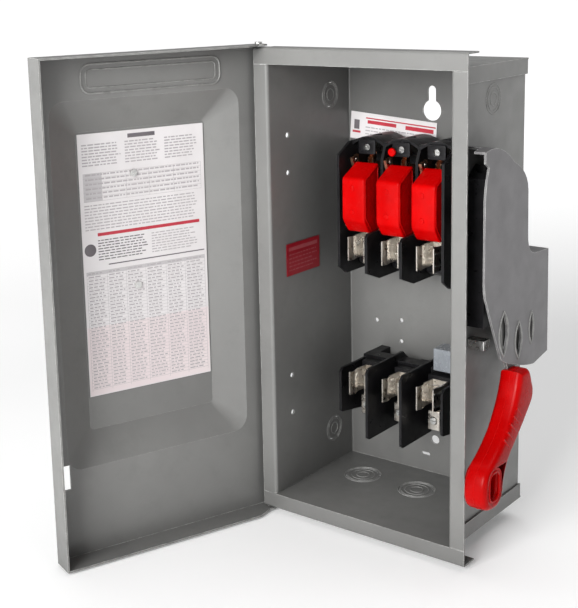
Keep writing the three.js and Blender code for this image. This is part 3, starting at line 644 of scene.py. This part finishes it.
def door_emboss():
    """A plain rounded bead pressed in the top of the door, with a finer one inside it."""
    for n, (inset, wire) in enumerate(((0, 1.0), (4.5, 0.7)), 1):
        loop = rounded(-68 + inset, 63 - inset, 185 + inset, 209 - inset, 8 - inset)
        points = [(u, -131.5, v) for u, v in loop]
        piece(f"door_bead_{n}", tube(points, wire, True, SHUT_TO_OPEN), FINISH["painted_steel"], "door")


# ------------------------------------------------------------------ printing on the labels
UNDERSIDE, WASH, RULE, TYPE = 0.01, 0.03, 0.045, 0.05  # how far each layer of ink stands off
RULE_HALF = 0.12


class Print:
    """Thin inked shapes lying on a label: u runs to its right and v up it, in mm."""

    def __init__(self, name, placed, body, seed):
        self.name, self.placed, self.body = name, placed, body
        self.random = random.Random(seed)
        self.inks = {}

    def bar(self, ink, u0, u1, v0, v1, height=TYPE):
        self.inks.setdefault(ink, []).append((u0, u1, v0, v1, height))

    def row(self, ink, u0, u1, v, tall):
        """One line of small marks with gaps, like a line of print."""
        u = u0
        while u < u1 - 1:
            wide = min(self.random.uniform(1.6, 5.5), u1 - u)
            self.bar(ink, u, u + wide, v, v + tall)
            u += wide + self.random.uniform(0.7, 1.3)

    def rows(self, ink, u0, u1, v0, v1, pitch, tall, ragged=0.0):
        """A block of lines, each ending up to a ragged measure short of the right."""
        v = v1 - tall
        while v >= v0:
            self.row(ink, u0, u1 - self.random.uniform(0, ragged), v, tall)
            v -= pitch

    def grid(self, ink, u0, u1, v0, v1, columns, pitch):
        """The thin rules of a table."""
        for k in range(int((v1 - v0) / pitch) + 1):
            v = v1 - k * pitch
            self.bar(ink, u0, u1, v - RULE_HALF, v + RULE_HALF, RULE)
        for u in columns:
            self.bar(ink, u - RULE_HALF, u + RULE_HALF, v0, v1, RULE)

    def done(self):
        """Makes one piece of all the shapes in each ink."""
        sides = [(i, (i + 1) % 4, (i + 1) % 4 + 4, i + 4) for i in range(4)]
        box = ((3, 2, 1, 0), (4, 5, 6, 7), *sides)
        for n, (ink, bars) in enumerate(self.inks.items()):
            points, faces = [], []
            for u0, u1, v0, v1, height in bars:
                base = len(points)
                corners = ((u0, v0), (u1, v0), (u1, v1), (u0, v1))
                points += [(u, v, w) for w in (UNDERSIDE, height) for u, v in corners]
                faces += [tuple(base + i for i in face) for face in box]
            mesh = bpy.data.meshes.new(f"{self.name}_{n}")
            mesh.from_pydata(points, [], faces)
            mesh.transform(SCALE @ self.placed)
            piece(f"{self.name}_{n}", mesh, ink, self.body, smooth=False)


def door_print():
    """The big label inside the door: u runs from the door's free edge towards its hinge."""
    face_y = -144.8  # of the label, with the door shut
    placed = SHUT_TO_OPEN @ Matrix(((-1, 0, 0, 0), (0, 0, 1, face_y), (0, 1, 0, 0), (0, 0, 0, 1)))
    p = Print("door_print", placed, "door", 5)

    # A faint wash, the heading and three blocks of text under it.
    p.bar(INK_PINK, -63, 56, -79.5, -18, WASH)
    p.bar(INK, -17, 9, 143.5, 147)
    for left, right, ragged in ((-60, -24, 6), (-20, 14, 5), (18, 52, 8)):
        p.rows(INK_GREY, left, right, 121, 141, 2.5, 1.1, ragged)

    # The upper table and the notes below it.
    p.bar(INK_PALE, -60, -43, 92, 116, WASH)
    p.grid(INK_GREY, -60, 53, 92, 116, (-43, -20, 2, 26, 53), 4)
    p.rows(INK_GREY, -58, 51, 93, 115.4, 4, 1.3)
    p.rows(INK_GREY, -60, 53, 67, 89, 2.6, 1.0, 12)

    # The red rule, the round mark and the two blocks beside it.
    p.bar(INK_RED, -49, 50, 61.4, 64.2)
    icon = slab([circle(-56.4, 50, 5.4, 28)], "z", 0, 0.06, 0.01, 1, placed)
    piece("door_print_icon", icon, INK, "door")
    p.rows(INK, -49, -2, 39, 58, 2.4, 0.9, 6)
    p.rows(INK_GREY, 2, 50, 39, 58, 2.4, 0.9, 10)
    p.bar(INK, -40, 54, 35.2, 36.2)

    # The lower table, filled column by column.
    columns = (-61, -42, -24, -5, 15, 34, 54)
    p.grid(INK_GREY, columns[0], columns[-1], -76, 31, columns, 3)
    for left, right in zip(columns, columns[1:]):
        p.rows(INK_GREY, left + 1.5, right - 1.5, -75.4, 30, 3, 1.1, 4)
    p.bar(INK_PALE, columns[0], columns[-1], 28, 31, WASH)
    p.done()


def rear_print():
    """The small white label stuck slightly askew on the back wall."""
    centre, askew = (-42, -2.2, 130.5), math.radians(4)
    placed = Matrix.Translation(centre) @ Matrix.Rotation(askew, 4, "Y") @ FACING["y"]
    p = Print("rear_print", placed, "enclosure", 8)
    p.bar(INK_RED, -30, 46, 7.6, 8.8)
    p.bar(INK_RED, -28, 4, 3, 6.4)
    p.bar(INK_RED, 14, 44, 2.4, 6.2)
    p.bar(INK, -43, -37, -3.5, 5.5)
    p.bar(INK_RED, -44.5, -35.5, -7, -5)
    p.rows(INK_GREY, -30, 44, -11, 0, 3.2, 1.1, 16)
    p.done()


def side_print():
    """The red label on the left wall, read from inside the box."""
    face_x, centre_y, centre_z = -90.3, -80.5, 19.5
    placed = Matrix(((0, 0, 1, face_x), (1, 0, 0, centre_y), (0, 1, 0, centre_z), (0, 0, 0, 1)))
    p = Print("side_print", placed, "enclosure", 3)
    p.bar(INK_ROSE, -22, 22, 8, 11.5)
    p.rows(INK_ROSE, -22, 22, -12, 5, 3.6, 1.2, 8)
    p.done()


grip()
for pole, pole_x in POLES.items():
    carrier(pole, pole_x)
coil()
small_hardware()
knockout_rings()
guard_slots()
door_emboss()
door_print()
rear_print()
side_print()


# ------------------------------------------------------------------ floor, light, camera
def stage():
    """A white floor that glows more with distance, so that it blends into the horizon."""
    gap_below = 0.5 * MM
    glow_from, glow_to = 0.6, 2.6  # distances from the box
    bottom = cad_box[0].z
    bpy.ops.mesh.primitive_plane_add(size=60, location=(0, 0, bottom - gap_below))
    floor = bpy.context.object
    floor.name = "studio_floor"
    s = Shader("pale_floor", Roughness=0.8, Specular_IOR_Level=0.1, Emission_Color=(1, 1, 1, 1))
    s.to("Base Color", s.mix(s.span(s.noise(3, 3), 0.3, 0.7), (0.9, 0.9, 0.9), (0.93, 0.93, 0.93)))
    away = s.node("ShaderNodeVectorMath", operation="LENGTH")
    s.link(s.position, away.inputs[0])
    s.to("Emission Strength", s.span(away.outputs["Value"], glow_from, glow_to, 0.14, 0.85))
    floor.data.materials.append(s.material)


def surroundings():
    """Pale at the horizon and dim overhead, so that the soft lights do the modelling."""
    world = bpy.data.worlds.new("studio")
    world.use_nodes = True
    nodes, links = world.node_tree.nodes, world.node_tree.links
    nodes["Background"].inputs["Color"].default_value = (1, 1, 1, 1)
    height = nodes.new("ShaderNodeSeparateXYZ")
    links.new(nodes.new("ShaderNodeTexCoord").outputs["Generated"], height.inputs["Vector"])
    fade = nodes.new("ShaderNodeMapRange")
    for name, value in (("From Min", 0.06), ("From Max", 0.3), ("To Min", 0.72), ("To Max", 0.18)):
        fade.inputs[name].default_value = value
    links.new(height.outputs["Z"], fade.inputs["Value"])
    links.new(fade.outputs["Result"], nodes["Background"].inputs["Strength"])
    bpy.context.scene.world = world


def area_light(name, place, target, size, watts):
    """A rectangular lamp facing a target."""
    light = bpy.data.lights.new(name, "AREA")
    light.shape = "RECTANGLE"
    light.size, light.size_y = size
    light.energy = watts
    lamp = bpy.data.objects.new(name, light)
    lamp.location = place
    lamp.rotation_euler = (Vector(target) - Vector(place)).to_track_quat("-Z", "Y").to_euler()
    bpy.context.scene.collection.objects.link(lamp)


def studio():
    """A large soft key in front and a wide lamp overhead and behind."""
    area_light("key", place=(0.2, -2.4, 0.8), target=(0, -0.1, 0), size=(1.3, 1.1), watts=76)
    area_light("top", place=(0, 0.6, 2.4), target=(0, 0.3, 0), size=(3, 2.4), watts=34)
    bpy.context.scene.view_settings.view_transform = "Standard"


def camera():
    """Seen from the front right and a little above, with the picture's centre off the lens axis."""
    place = Vector((0.5644, -0.9649, 0.2818))
    yaw, pitch, roll = (math.radians(a) for a in (38.73, -11.21, -1.44))
    data = bpy.data.cameras.new("camera")
    data.lens = 71.9
    data.shift_x, data.shift_y = 0.0535, -0.1546
    lens = bpy.data.objects.new("camera", data)
    level = Matrix.Rotation(yaw, 4, "Z") @ Matrix.Rotation(math.pi / 2 + pitch, 4, "X")
    lens.matrix_world = Matrix.Translation(place) @ level @ Matrix.Rotation(roll, 4, "Z")
    bpy.context.scene.collection.objects.link(lens)
    bpy.context.scene.camera = lens


stage()
surroundings()
studio()
camera()
